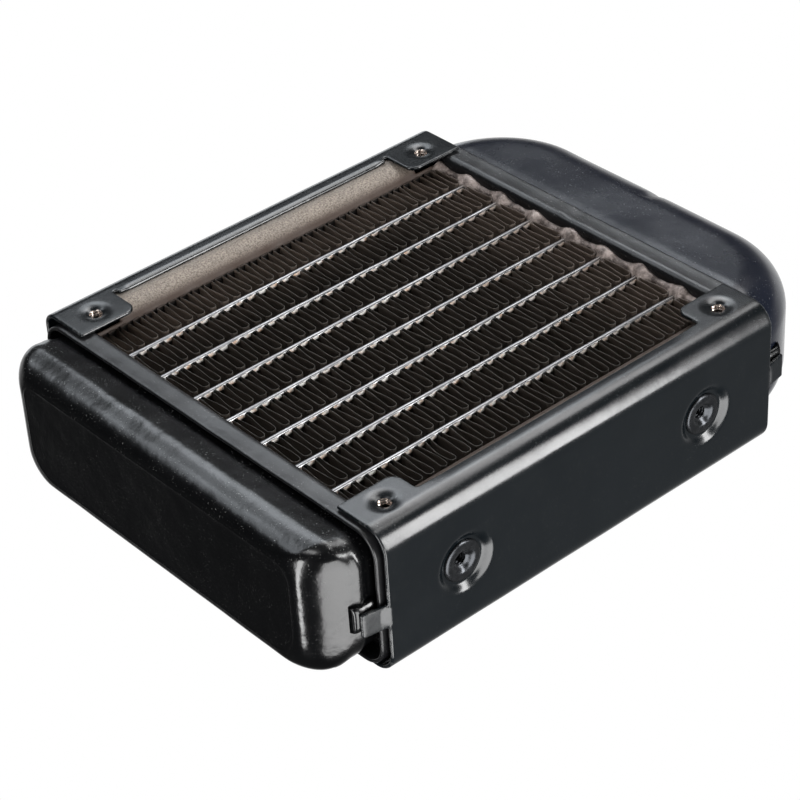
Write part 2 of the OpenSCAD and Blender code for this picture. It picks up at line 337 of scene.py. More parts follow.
class Nodes:
    """Short calls for the nodes of one tree."""

    def __init__(self, owner):
        owner.use_nodes = True
        self.tree = owner.node_tree
        self.tree.nodes.clear()

    def set(self, socket, value):
        if hasattr(value, "is_output"):
            self.tree.links.new(value, socket)
        else:
            socket.default_value = value

    def node(self, kind, props=(), **inputs):
        n = self.tree.nodes.new("ShaderNode" + kind)
        for key, value in dict(props).items():
            setattr(n, key, value)
        for key, value in inputs.items():
            self.set(n.inputs[key.replace("_", " ")], value)
        return n

    def feed(self, n, values):
        """Sets inputs by their number and returns the node's first output."""
        for at, value in values.items():
            self.set(n.inputs[at], value)
        return n.outputs[0]

    def out(self, kind, value):
        self.set(self.node(kind).inputs[0], value)

    def math(self, operation, a, b):
        return self.feed(self.node("Math", {"operation": operation}), {0: a, 1: b})

    def between(self, value, low, high):
        """0 below low, 1 above high, smooth between."""
        smooth = {"interpolation_type": "SMOOTHSTEP"}
        return self.node("MapRange", smooth, Value=value, From_Min=low, From_Max=high).outputs[0]


class Look(Nodes):
    """A material on one Principled shader."""

    def __init__(self, name, **sockets):
        self.material = bpy.data.materials.new(name)
        super().__init__(self.material)
        self.shader = self.node("BsdfPrincipled", **sockets)
        self.out("OutputMaterial", self.shader.outputs[0])
        self.place = self.node("TexCoord").outputs["Object"]

    def noise(self, size, detail=3.0, rough=0.55, stretch=None):
        """Noise from 0 to 1 with features about size (in metres) across."""
        place = self.place
        if stretch:
            place = self.node("Mapping", Vector=place, Scale=stretch).outputs[0]
        n = self.node("TexNoise", Vector=place, Scale=1 / size, Detail=detail, Roughness=rough)
        return n.outputs["Fac"]

    def ramp(self, value, *stops):
        """Maps 0..1 through (position, number) stops."""
        n = self.node("ValToRGB", Fac=value)
        for element, (at, level) in zip(n.color_ramp.elements, stops):
            element.position = at
            element.color = (level, level, level, 1)
        return n.outputs["Color"]

    def mix(self, factor, a, b):
        n = self.node("Mix", {"data_type": "RGBA"})
        self.set(n.inputs[0], factor)
        for socket, value in ((n.inputs[6], a), (n.inputs[7], b)):
            self.set(socket, value if hasattr(value, "is_output") else (*value, 1))
        return n.outputs[2]

    def axis(self, name):
        return self.node("SeparateXYZ", Vector=self.place).outputs[name]

    def facing_up(self):
        """The upward part of the surface normal."""
        return self.node("SeparateXYZ", Vector=self.node("NewGeometry").outputs["Normal"]).outputs["Z"]

    # The per-vertex mask of worn edges and painted highlights.
    def wear_and_highlight(self):
        return self.node("Attribute", {"attribute_name": "wear_and_highlight"}).outputs["Fac"]

    def bump(self, *layers):
        """Bump from (height socket, depth in metres) layers, chained."""
        for height, depth in layers:
            n = self.node("Bump", Height=height, Distance=depth, Strength=1.0)
            for link in self.shader.inputs["Normal"].links:
                self.set(n.inputs["Normal"], link.from_socket)
            self.set(self.shader.inputs["Normal"], n.outputs[0])

    def coat(self, colour, value, low, high):
        """Finishes the material with a colour, and a roughness that follows value."""
        return self.use(colour, self.ramp(value, (0.3, low), (0.7, high)))

    def use(self, colour, roughness):
        self.set(self.shader.inputs["Base Color"], colour)
        self.set(self.shader.inputs["Roughness"], roughness)
        return self.material


def paint(name, dark, light, rough, settle, haze, specks, peel, dent):
    """Black spray paint: two close shades, orange peel, shallow dents, settled dust and specks, and cut edges
    lightened in patches, partly worn paint and partly a painted highlight.
    """
    look = Look(name, IOR=1.5)
    up = look.facing_up()
    shade = look.mix(look.noise(22 * MM, 3), dark, light)
    dust = look.ramp(look.noise(9 * MM, 6, 0.62), (0.42, 0.0), (0.72, 1.0))
    dust = look.math("MULTIPLY", look.math("MULTIPLY", dust, look.between(up, 0.3, 0.95)), haze)
    shade = look.mix(dust, shade, (0.11, 0.11, 0.115))
    fleck = look.ramp(look.noise(0.42 * MM, 2, 0.5), (0.66, 0.0), (0.73, 1.0))
    fleck = look.math("MULTIPLY", fleck, look.ramp(look.noise(7 * MM, 2), (0.4, 0.0), (0.6, specks)))
    fleck = look.math("MULTIPLY", fleck, look.between(up, -0.4, 0.9))
    shade = look.mix(fleck, shade, (0.3, 0.3, 0.29))
    # Cut edges lighter in patches: partly worn paint, partly a painted highlight along the edges.
    worn_and_lit = look.ramp(look.noise(2.5 * MM, 4, 0.6), (0.5, 0.0), (0.72, 0.7))
    shade = look.mix(look.math("MULTIPLY", look.wear_and_highlight(), worn_and_lit), shade, (0.10, 0.10, 0.10))
    gloss = look.ramp(look.noise(14 * MM, 5, 0.6), (0.3, rough * 0.85), (0.7, rough * 1.2))
    settled = look.math("MULTIPLY", look.between(up, 0.5, 1.0), settle)
    look.bump((look.noise(15 * MM, 2), dent), (look.noise(4.5 * MM, 3), dent * 0.45),
              (look.noise(1.1 * MM, 2), peel))
    return look.use(shade, look.math("ADD", gloss, settled))


def primer():
    """Beige primer with painted shade: darker brown just above the fins (partly thinner overspray), black
    from the fins' top down into the core, and darker grey under the panel's lip.
    """
    look = Look("core_primer", IOR=1.45)
    grain = look.noise(0.45 * MM, 4, 0.7)
    blotch = look.noise(5 * MM, 4, 0.6)
    tone = look.mix(blotch, (0.25, 0.21, 0.175), (0.40, 0.345, 0.29))
    tone = look.mix(look.ramp(grain, (0.36, 0.85), (0.6, 0.0)), tone, (0.07, 0.055, 0.045))
    # Painted shade by height: dark brown just above the fins, partly thinner overspray; black below the fins'
    # top; darker grey up under the lip.
    height = look.axis("Z")
    for start, end, colour in ((18.15 * MM, 16.0 * MM, (0.055, 0.036, 0.027)),
                               (15.5 * MM, 14.9 * MM, (0.006, 0.004, 0.003)),
                               (18.3 * MM, 19.0 * MM, (0.11, 0.10, 0.09))):
        tone = look.mix(look.between(height, MID_Z + start, MID_Z + end), tone, colour)
    look.bump((grain, 0.05 * MM))
    return look.coat(tone, blotch, 0.55, 0.8)


def solder():
    """Dusty solder, with a painted highlight on the lumps beside the tubes."""
    look = Look("solder_dust", IOR=1.45)
    blotch = look.ramp(look.noise(2.6 * MM, 5, 0.65), (0.38, 0.0), (0.66, 1.0))
    tone = look.mix(blotch, (0.07, 0.052, 0.045), (0.42, 0.35, 0.32))
    # Painted highlight: pale where the lumps bulge out beside the tubes.
    tone = look.mix(look.between(look.wear_and_highlight(), 0.75, 1.0), tone, (0.62, 0.56, 0.53))
    look.bump((look.noise(1.6 * MM, 3), 0.35 * MM), (look.noise(0.4 * MM, 2), 0.05 * MM))
    return look.use(tone, look.ramp(blotch, (0.0, 0.55), (1.0, 0.28)))


def tube_metal():
    """Stained tinned metal, brown at the far end, with painted shade that turns it dark low in the core."""
    look = Look("tube_metal", Metallic=0.9, IOR=1.5)
    stain = look.noise(3.5 * MM, 5, 0.65, stretch=(0.25, 1, 1))
    tone = look.mix(stain, (0.08, 0.08, 0.082), (0.24, 0.24, 0.245))
    tone = look.mix(look.between(look.axis("X"), 47 * MM, 55 * MM), tone, (0.05, 0.04, 0.034))
    # Painted shade: darker low in the core, between the fins.
    painted_core_shade = look.between(look.axis("Z"), MID_Z + 14.6 * MM, MID_Z + 13.2 * MM)
    tone = look.mix(painted_core_shade, tone, (0.03, 0.027, 0.025))
    look.bump((look.noise(0.9 * MM, 3), 0.02 * MM))
    return look.coat(tone, stain, 0.34, 0.2)


def fin_sheet():
    """Black fins, dustier towards the far end and the left side."""
    look = Look("fin_black", IOR=1.45)
    blotch = look.noise(4 * MM, 4, 0.6)
    tone = look.mix(blotch, (0.022, 0.018, 0.015), (0.066, 0.053, 0.043))
    dusty = look.math("MAXIMUM", look.between(look.axis("X"), 22 * MM, 56 * MM),
                      look.between(look.axis("Y"), 28 * MM, 44 * MM))
    dusty = look.math("MULTIPLY", dusty, look.ramp(look.noise(6 * MM, 3), (0.3, 0.5), (0.6, 1.0)))
    tone = look.mix(dusty, tone, (0.12, 0.093, 0.075))
    look.bump((look.noise(0.6 * MM, 3), 0.02 * MM))
    return look.coat(tone, blotch, 0.45, 0.65)


def fin_edge():
    look = Look("fin_edge", Metallic=0.35, IOR=1.45)
    blotch = look.noise(1.5 * MM, 3, 0.6)
    bare = look.ramp(blotch, (0.42, 0.0), (0.74, 1.0))
    tone = look.mix(bare, (0.018, 0.016, 0.013), (0.075, 0.067, 0.055))
    dusty = look.math("MULTIPLY", look.between(look.axis("X"), 30 * MM, 56 * MM), 0.7)
    return look.coat(look.mix(dusty, tone, (0.13, 0.10, 0.085)), blotch, 0.6, 0.4)


def fin_crest():
    """Flux and solder where the folds touch the tubes, duller at the far end, with painted shade low in the
    core.
    """
    look = Look("fin_crest", IOR=1.45)
    blotch = look.noise(1.6 * MM, 3, 0.6)
    pale = look.ramp(blotch, (0.3, 0.0), (0.55, 1.0))
    tone = look.mix(pale, (0.75, 0.47, 0.30), (0.95, 0.92, 0.88))
    far = look.math("MULTIPLY", look.between(look.axis("X"), 0.0, 52 * MM), 0.75)
    tone = look.mix(far, tone, (0.30, 0.23, 0.19))
    # Painted shade: the crests go dark low in the core.
    painted_core_shade = look.between(look.axis("Z"), MID_Z + 14.9 * MM, MID_Z + 14.2 * MM)
    tone = look.mix(painted_core_shade, tone, (0.012, 0.008, 0.006))
    look.bump((look.noise(0.7 * MM, 3), 0.05 * MM))
    return look.coat(tone, blotch, 0.5, 0.3)


def metal(name, metallic, noise, dark, light, low, high, bump_depth=None):
    """Plain metal in two shades; noise is (size, detail, roughness)."""
    look = Look(name, Metallic=metallic, IOR=1.5)
    blotch = look.noise(*noise)
    if bump_depth:
        look.bump((look.noise(0.5 * MM, 2), bump_depth))
    return look.coat(look.mix(blotch, dark, light), blotch, low, high)


def make_materials():
    return {
        "tank": paint("tank_paint", (0.0008, 0.0009, 0.0011), (0.0018, 0.0019, 0.0022),
                      0.19, 0.05, 0.03, 0.55, 0.012 * MM, 0.26 * MM),
        # Painted light: a lighter, bluer copy of the black tank paint, standing in for cool light reflected
        # from behind.
        "port": paint("port_tank_paint_with_painted_cool_light", (0.0028, 0.0040, 0.0085), (0.0056, 0.0078, 0.0155),
                      0.20, 0.06, 0.07, 0.4, 0.008 * MM, 0.08 * MM),
        "panel": paint("panel_paint", (0.0018, 0.0030, 0.0040), (0.0032, 0.0047, 0.0060),
                       0.20, 0.04, 0.03, 0.15, 0.005 * MM, 0.05 * MM),
        "header": paint("header_paint", (0.0015, 0.0016, 0.002), (0.007, 0.007, 0.008),
                        0.27, 0.08, 0.20, 0.8, 0.020 * MM, 0.16 * MM),
        "primer": primer(), "solder": solder(), "tube": tube_metal(),
        "fin": fin_sheet(), "edge": fin_edge(), "crest": fin_crest(),
        "steel": metal("insert_steel", 0.85, (1.5 * MM, 3), (0.022, 0.024, 0.027), (0.05, 0.052, 0.056),
                       0.2, 0.32, 0.006 * MM),
        "thread": metal("bare_thread", 0.9, (0.8 * MM, 3), (0.50, 0.36, 0.30), (0.90, 0.84, 0.78), 0.3, 0.18),
        "brass": metal("fitting_brass", 1.0, (3 * MM, 4, 0.6), (0.44, 0.31, 0.13), (0.66, 0.50, 0.25),
                       0.34, 0.2, 0.01 * MM),
    }


# ---- side panels

PANEL_T = 1.0 * MM
BEND_R = {LEFT: 4.2 * MM, RIGHT: 6.2 * MM}
LIP_W = {LEFT: 6.9 * MM, RIGHT: 8.4 * MM}
LIP_DROOP_W = 1.2 * MM
LIP_DROOP_SLOPE = 0.32
LIP_SAG = 0.022 / MM
LIP_SAG_FROM = 1.0 * MM
TONGUE_SLOPE = 0.18
TAB_L = 16.6 * MM
TAB_W = 15.8 * MM
TAB_CORNER_R = 3.0 * MM
NOTCH_W = 1.2 * MM
TONGUE_W = 6.4 * MM
TONGUE_DROP = {RETURN_END: 2.4 * MM, PORT_END: 0.6 * MM}
JOGGLE = 1.7 * MM
SIDE_SCREW_X = 38.4 * MM
CUT_EDGE_R = 0.44 * MM
SCREW_THREAD = (1.6 * MM, 0.36 * MM, 0.794 * MM)


def mm_rows(*rows):
    return [(r * MM, h * MM) + tuple(rest) for r, h, *rest in rows]


def bend_sizes(side):
    """A panel's outer bend radius, half the height of its web, and the length of the bend."""
    r = BEND_R[side]
    return r, BODY_H / 2 - r, r * math.pi / 2


def panel_outline(side):
    """The flat sheet of a side panel: u along X, s up the outside from mid-height."""
    bend_r, web, arc = bend_sizes(side)
    lip = web + arc + LIP_W[side] - bend_r
    tab = web + arc + TAB_W - bend_r
    tab_x = HALF_L - TAB_L
    notch_x = tab_x - NOTCH_W
    notch = lip - NOTCH_W

    def end(sx):
        """One end from the lower lip to the upper lip, or the reverse at the other end."""
        reach = HALF_L + TONGUE_L
        rise, fall = -TONGUE_DROP[sx] + TONGUE_W / 2, -TONGUE_DROP[sx] - TONGUE_W / 2
        half = [(notch_x, lip, 0.55 * MM), (notch_x, notch, 0.55 * MM), (tab_x, notch, 0.55 * MM)]
        if side == RIGHT:
            half = [(tab_x, lip, 0.9 * MM)]
        half += [(tab_x, tab, TAB_CORNER_R), (HALF_L, tab, 0.5 * MM)]
        tongue = [(HALF_L, fall, 0.35 * MM), (reach, fall, 0.5 * MM),
                  (reach, rise, 0.5 * MM), (HALF_L, rise, 0.35 * MM)]
        rows = [(x, -s, r) for x, s, r in half] + tongue + half[::-1]
        rows = [(sx * x, s, r) for x, s, r in rows]
        return rows if sx > 0 else rows[::-1]

    return rounded(end(PORT_END) + end(RETURN_END), 0.5 * MM)


def panel_place(side):
    bend_r, web, arc = bend_sizes(side)
    droop_from = LIP_W[side] - bend_r - LIP_DROOP_W

    def place(u, s, h):
        over = abs(u) - HALF_L
        soft = smoothstep((HALF_L - TAB_L - 1 * MM - abs(u)) / (9 * MM))
        past = abs(s) - web - arc
        if side == LEFT and past > droop_from:
            h -= LIP_DROOP_SLOPE * (past - droop_from) * smoothstep(soft * 3)
        if side == RIGHT and past > -LIP_SAG_FROM:
            h -= LIP_SAG * min(past + LIP_SAG_FROM, 3.4 * MM) ** 2 * soft
        h += wobble(u, s, side * 0.02, 17 * MM, 0.05 * MM)
        if over > 0:
            h -= (JOGGLE - TONGUE_SLOPE * TONGUE_L) * smoothstep(over / (0.35 * MM)) + TONGUE_SLOPE * over
        up = 1 if s >= 0 else -1
        a = abs(s)
        if a <= web:
            y, z = HALF_W + h, a
        elif a <= web + arc:
            turn = (a - web) / bend_r
            y = HALF_W - bend_r + (bend_r + h) * math.cos(turn)
            z = web + (bend_r + h) * math.sin(turn)
        else:
            y = HALF_W - bend_r - (a - web - arc)
            z = web + bend_r + h
        return (u, side * min(y, HALF_W), MID_Z + up * min(z, BODY_H / 2))

    return place


def build_panel(side, m):
    bend_r, web, arc = bend_sizes(side)
    bend_lo, bend_hi = web - 0.8 * MM, web + arc + 2.0 * MM
    bends = 22
    lines_s = [bend_lo + (bend_hi - bend_lo) * k / bends for k in range(bends + 1)]
    lines_s += [bend_hi + 1.1 * MM * k for k in range(1, 11)]
    lines_s = [-s for s in lines_s] + lines_s + [bend_lo * k / 12 for k in range(-11, 12)]
    lines_s.sort()
    span = HALF_L + TONGUE_L
    lines_u = [span * k / 62 for k in range(-62, 63)]
    funnel = mm_rows((4.75, 0), (4.4, -0.015), (3.9, -0.06), (3.4, -0.14), (2.95, -0.24), (2.55, -0.35),
                     (2.2, -0.48), (1.95, -0.64)) \
        + thread_rows(1.6 * MM, -0.75 * MM, -2.5 * MM, SCREW_THREAD[2]) \
        + mm_rows((1.8, -2.6), (2.25, -2.6), (2.4, -2.45), (2.42, -1.6), (2.5, -1.2), (2.9, -1.0))
    dish = mm_rows((8.8, 0), (8.4, -0.03), (8.0, -0.13), (7.6, -0.3), (7.2, -0.53), (6.9, -0.76),
                   (6.6, -0.98), (6.35, -1.17), (6.1, -1.3), (5.8, -1.37), (5.4, -1.4), (3.4, -1.4),
                   (3.2, -1.5), (3.2, -2.3), (3.3, -2.4), (5.2, -2.4), (6.2, -2.3), (7.0, -1.95),
                   (7.8, -1.5), (8.4, -1.15), (9.0, -1.0))
    hole_s = web + arc + HALF_W - bend_r - FAN_HALF
    holes = [(sx * FAN_HALF, sz * hole_s, funnel, SCREW_THREAD) for sx in (-1, 1) for sz in (-1, 1)]
    holes += [(sx * SIDE_SCREW_X, 0.0, dish, None) for sx in (-1, 1)]
    name = SIDE_NAME[side]
    verts, faces, marks, wear_and_highlight = bent_sheet(panel_outline(side), holes, lines_u, lines_s, PANEL_T,
                                           CUT_EDGE_R, panel_place(side))
    piece("panel_" + name, verts, faces, [m["panel"], m["thread"]],
          ["side_panel_" + name], marks, wear_and_highlight=wear_and_highlight)


def build_inserts(side, m):
    """The domed, threaded inserts that sit in a panel's dishes."""
    profile = mm_rows((5.25, -1.42), (5.3, -1.2), (5.22, -0.98), (5.0, -0.82), (4.6, -0.7),
                      (4.1, -0.64), (3.6, -0.66), (3.15, -0.76), (2.75, -0.96), (2.45, -1.25),
                      (2.15, -1.5), (1.9, -1.7)) \
        + thread_rows(1.6 * MM, -1.8 * MM, -6.7 * MM, SCREW_THREAD[2])[:-1] \
        + mm_rows((1.9, -6.6), (2.9, -6.6), (3.15, -6.4), (3.15, -1.45))
    verts, faces, marks = [], [], []
    for sx in (-1, 1):
        def place(x, y, h, sx=sx):
            return (sx * SIDE_SCREW_X + x, side * (HALF_W + h), MID_Z + y)
        v, f, k = revolve(profile, SCREW_THREAD, 64, place)
        base = len(verts)
        verts += v
        faces += [tuple(i + base for i in face) for face in f]
        marks += k
    name = SIDE_NAME[side]
    piece("inserts_" + name, verts, faces, [m["steel"], m["steel"]],
          ["side_inserts_" + name], marks)


# ---- headers, tanks


def section_ring(x, a, b, r, across=44, down=14, bend=9, low_r=None):
    """Rounded rectangle a by b (half sizes) in the plane at x, always the same number of points."""
    top, low = (max(min(q, a - 1e-6, b - 1e-6), 1e-5) for q in (r, r if low_r is None else low_r))
    arcs = []
    for k, (sy, sz, r) in enumerate(((1, 1, top), (-1, 1, top), (-1, -1, low), (1, -1, low))):
        turns = [math.pi / 2 * (k + j / bend) for j in range(bend + 1)]
        arcs.append([(sy * (a - r) + r * math.cos(t), sz * (b - r) + r * math.sin(t)) for t in turns])
    points = []
    for k, arc in enumerate(arcs):
        start, end = np.array(arc[-1]), np.array(arcs[(k + 1) % 4][0])
        n = (across, down)[k % 2]
        points += arc + [start + (end - start) * j / n for j in range(1, n)]
    return [(x, y, MID_Z + z) for y, z in points]


def build_header(end, m):
    """A plate with a rim: the rim bends out of the plate towards the tank."""
    a, b, r = HEADER_HI[1] + 1.2 * MM, HEADER_HI[2] - MID_Z, 6.5 * MM
    rows = [(0.0, 13.0), (0.0, 6.0), (0.0, 3.0), (0.0, 2.2), (0.03, 1.75), (0.18, 1.15), (0.5, 0.6),
            (0.95, 0.22), (1.5, 0.04), (2.1, 0.0), (3.4, 0.0), (4.8, 0.0), (5.6, 0.0), (5.95, 0.03),
            (6.12, 0.14), (6.2, 0.34), (6.2, 0.66), (6.12, 0.86), (5.95, 0.97), (5.6, 1.0),
            (3.2, 1.0), (1.9, 1.15), (1.3, 1.5), (1.03, 2.2), (1.0, 3.0), (1.0, 13.0)]
    verts, rings = [], []
    for depth, cut in rows:
        ring = section_ring(PLATE_X + depth * MM, a - cut * MM, b - cut * MM, r - cut * MM)
        rings.append(list(range(len(verts), len(verts) + len(ring))))
        on_rim = smoothstep((depth - 1.5) / 2) * smoothstep((6.0 - depth) / 2)
        for x, y, z in ring:
            top = smoothstep((abs(z - MID_Z) - b + 3 * MM) / (2 * MM))
            rise = top * (wobble(x, y, z + end, 6 * MM, 0.10 * MM) - 0.12 * MM * on_rim)
            rise += fold_height(end, y, z) * smoothstep(depth - 0.3)
            verts.append((end * x, y, z + (rise if z > MID_Z else -rise)))
    faces = skin(rings) + [tuple(rings[0]), tuple(rings[-1][::-1])]
    name = END_NAME[end]
    piece("header_rim_" + name, verts, faces, [m["header"]], ["header_" + name])


def fold_height(end, y, z):
    """A small pinch in the port header's upper rim."""
    if end != PORT_END or z < MID_Z:
        return 0.0
    return -0.5 * MM * math.exp(-(((y - 3 * MM) / (0.55 * MM)) ** 2)) \
        + 0.25 * MM * math.exp(-(((y - 4.4 * MM) / (0.8 * MM)) ** 2))


def build_return_tank(m):
    """Shallow pressed tank: a valley beside the rim, a crowned shoulder and a flat outer face."""
    reach = -RETURN_LO[0]
    a, b = RETURN_HI[1], RETURN_HI[2] - MID_Z
    rows = []
    for d, cut_a, cut_b in ((57.2, 1.3, 1.5), (61.0, 1.3, 1.5), (62.0, 1.35, 1.5), (62.8, 1.4, 1.4),
                            (63.5, 1.3, 1.2), (64.2, 1.1, 1.04)):
        rows.append((d * MM, a - cut_a * MM, b - cut_b * MM, 6.2 * MM))
    swell, side_crown, crown, brow = 64.9 * MM, 67.0 * MM, 69.2 * MM, reach - 0.10 * MM
    turns = 34
    for k in range(turns + 1):
        taper = (brow - swell) * math.sin(math.pi / 2 * k / turns)
        d = swell + taper
        fall_a = 0.8 * MM + 0.26 * taper * smoothstep(taper / (2 * MM))
        fall_a += 6.0 * MM * quarter(d, side_crown, brow)
        fall_b = 4.9 * MM * quarter(d, crown, brow) + 0.9 * MM * max(crown - d, 0.0) / (crown - swell)
        rows.append((d, a - fall_a, b - fall_b, 6.4 * MM - 1.8 * MM * smoothstep(taper / (9 * MM))))
    face_a, face_b, face_r = rows[-1][1:]
    for step, back in ((0.12, 0.03), (0.3, 0.0), (0.5, 0.03), (0.75, 0.08)):
        rows.append((reach - back * MM, face_a - step * MM, face_b - step * MM, face_r))
    face_d, face_a, face_b, face_r = rows[-1]
    for k in range(1, 12):
        f = 1 - k / 12
        rows.append((face_d, face_a * (0.02 + 0.98 * f), face_b * (0.02 + 0.98 * f), face_r * f))
    verts, rings = [], []
    for d, ha, hb, r in rows:
        near = smoothstep((72 * MM - d) / (6 * MM)) * smoothstep((d - 61.5 * MM) / (2 * MM))
        face = smoothstep((d - reach + 1.2 * MM) / (1.1 * MM))
        ring = section_ring(d, ha, hb, r, 70, 16, 10, r * 1.7)
        rings.append(list(range(len(verts), len(verts) + len(ring))))
        for x, y, z in ring:
            push = wobble(x, y, z, 11 * MM, 0.10 * MM) + wobble(x, y, z, 3.2 * MM, 0.045 * MM) * near
            push -= 0.16 * MM
            out_y, out_z = y / ha, (z - MID_Z) / hb
            y += out_y * push * (1 - face) * (1 if abs(out_y) > abs(out_z) * 0.9 else 0.3)
            z += out_z * push * (1 - face) * (1 if abs(out_z) >= abs(out_y) * 0.9 else 0.3)
            verts.append((-x - push * face * 0.6, y, z))
    faces = skin(rings) + [tuple(rings[-1])]
    verts, faces = thicken(verts, turned(verts, faces), TANK_T)
    piece("tank_return_shell", verts, faces, [m["tank"]], ["tank_return"])


def quarter(d, start, end):
    """Quarter ellipse: 0 up to start, then down to 1 at end."""
    f = min(max((d - start) / (end - start), 0.0), 1.0)
    return 1 - math.sqrt(1 - f * f)


def turned(verts, faces, direction=None):
    """Flips every face if, on the whole, they look inward, or away from a direction."""
    v = np.asarray(verts, float)
    centre = (v.min(0) + v.max(0)) / 2
    total = 0.0
    for f in faces:
        p = v[list(f)]
        out = p.mean(0) - centre if direction is None else direction
        total += float(np.cross(p[1] - p[0], p[2] - p[0]) @ out)
    return faces if total > 0 else [f[::-1] for f in faces]


PORT_CORNER_R = 30 * MM
PORT_EDGE = 11.6 * MM
PORT_START_X = RIM_X - 1.2 * MM


def port_outline(cut, count=96):
    """Plan of the port tank, cut mm smaller all round, from the right rim to the left rim."""
    r = PORT_CORNER_R - cut
    cx, cy = PORT_HI[0] - PORT_CORNER_R, PORT_HI[1] - PORT_CORNER_R
    begin = -math.pi / 2 + math.asin(max(PORT_START_X - cx, 0) / r)
    bend = 34
    turns = [begin * (1 - k / bend) for k in range(bend + 1)]
    across = count - 2 * len(turns)
    points = [(cx + r * math.cos(t), -cy + r * math.sin(t)) for t in turns]
    points += [(PORT_HI[0] - cut, -cy + 2 * cy * (k + 1) / (across + 1)) for k in range(across)]
    points += [(cx + r * math.cos(t), cy - r * math.sin(t)) for t in reversed(turns)]
    return points


def build_port_tank(m):
    """Deep tank: large round corners in plan, a soft edge, flat above and below."""
    b = PORT_HI[2] - MID_Z
    straight = b - PORT_EDGE
    turns = 18
    bend = [math.pi / 2 * k / turns for k in range(turns + 1)]
    levels = [(PORT_EDGE * (1 - math.cos(t)), straight + PORT_EDGE * math.sin(t)) for t in bend]
    levels = [(c, -h) for c, h in reversed(levels)] + [(0.0, straight * k / 3) for k in range(-2, 3)] + levels
    verts, rings = [], []

    def add(x, y, z, top=0.0):
        push = wobble(x, y, z, 16 * MM, 0.12 * MM) - 0.1 * MM - valley(x)
        nick = port_nick(x, y, z)
        verts.append((x, y, z + (push if z > MID_Z else -push) * top - nick))
        return len(verts) - 1

    for cut, h in levels:
        top = smoothstep((abs(h) - straight) / PORT_EDGE)
        rings.append([add(x, y, MID_Z + h, top) for x, y in port_outline(cut)])
    faces = skin(rings, closed=False)
    rows = 14
    flat = port_outline(PORT_EDGE)
    base_y = np.linspace(flat[0][1], flat[-1][1], len(flat))
    for sz, last in ((1, rings[-1]), (-1, rings[0])):
        for f in (k / rows for k in range(1, rows + 1)):
            new = [add(x + (PORT_START_X - x) * f, y + (to_y - y) * f, MID_Z + sz * b, 1.0)
                   for (x, y), to_y in zip(flat, base_y)]
            faces += skin([last, new][::sz], closed=False)
            last = new
    verts, faces = thicken(verts, turned(verts, faces), TANK_T)
    piece("tank_port_shell", verts, faces, [m["port"]], ["tank_port"])


def valley(x):
    """How far the port tank's skin sinks beside the header's rim."""
    return 0.14 * MM * smoothstep((RIM_X + 2.5 * MM - x) / (2.5 * MM))


def port_nick(x, y, z):
    """A dent in the upper outer edge."""
    if z < MID_Z + 9 * MM or x < 78 * MM:
        return 0.0
    return 0.5 * MM * math.exp(-(((y + 3 * MM) / (1.6 * MM)) ** 2))


# ---- core


def build_core_side(side, m):
    """The plate along the last fins, its flanges curling out under the panel's lips."""
    y0, y1 = CORE_LO[1], CORE_HI[1]
    z_top = CORE_HI[2] - MID_Z - (0.0 if side == LEFT else 1.5 * MM)
    reach = y1 - y0
    rise = z_top - (TUBE_HI[2] - TUBE_LO[2]) / 2 + 0.8 * MM
    web = z_top - rise
    bends = 22
    path = [(y0, web * k / 8) for k in range(0, 8)]
    for k in range(bends + 1):
        t = math.pi / 2 * k / bends
        path.append((y0 + reach * (1 - math.cos(t)), web + rise * math.sin(t)))
    path = [(y, -z) for y, z in reversed(path[1:])] + path
    verts, faces = [], []
    columns = 150
    rows = []
    for k in range(columns + 1):
        x = -PLATE_X + 2 * PLATE_X * k / columns
        row = []
        for y, z in path:
            lump = wobble(x, y, z + side, 6 * MM, 0.12 * MM) + wobble(x, y, z, 2 * MM, 0.03 * MM)
            row.append(len(verts))
            verts.append((x, side * (y + 0.12 * MM + lump * 0.5), MID_Z + z - math.copysign(lump, z)))
        rows.append(row)
    clear_x, clear_y = FAN_HALF - 4.6 * MM, FAN_HALF - 3.2 * MM
    for q in skin(rows, closed=False):
        centre = np.mean([verts[i] for i in q], axis=0)
        if abs(centre[0]) <= clear_x or abs(centre[1]) <= clear_y:
            faces.append(q if side < 0 else q[::-1])
    verts, faces = thicken(verts, turned(verts, faces, (0, -side, 0)), 0.8 * MM)
    name = SIDE_NAME[side]
    piece("core_side_plate_" + name, verts, faces, [m["primer"]], ["core_side_" + name])


def fin_path(row, lo_y, hi_y):
    """Plan of one folded fin strip: hairpins that close at the low-Y side, with small faults."""
    wave = 3.65 * MM
    count = 30
    rng = random.Random(100 + row)
    points = []
    half = 0.08 * MM
    top, low = hi_y - half, lo_y + half + 0.12 * MM
    tip_r = 1.0 * MM
    crest_end = 0.12 * MM
    for k in range(count):
        x = (k - (count - 1) / 2) * wave
        sway = rng.uniform(-0.22, 0.22) * MM
        lean = rng.uniform(-0.3, 0.3) * MM
        if rng.random() < 0.07:
            sway += rng.choice((-1, 1)) * 0.45 * MM
        belly = (1.05 + rng.uniform(-0.13, 0.13)) * MM
        neck = (0.62 + rng.uniform(-0.12, 0.12)) * MM
        tip_y = low + rng.uniform(0.0, 0.45) * MM + tip_r
        neck_y = top - 0.25 * MM
        left, right = [], []
        steps = 12
        for f in (j / steps for j in range(steps + 1)):
            y = neck_y + (tip_y - neck_y) * f
            mid = x + sway * math.sin(math.pi * f * 0.8) + lean * f
            w = neck + (belly - neck) * smoothstep(f * 1.15)
            left.append((mid - w, y))
            right.append((mid + w, y))
        turns = [math.pi * j / 10 for j in range(1, 10)]
        tip = [(mid - belly * math.cos(t), tip_y - tip_r * math.sin(t)) for t in turns]
        start, end = left[0][0] - crest_end, right[0][0] + crest_end
        points += [(start, top)] + left + tip + right[::-1] + [(end, top)]
    half_l = (count - 1) / 2 * wave + 1.2 * MM
    return [(-half_l, top)] + points + [(half_l, top)]


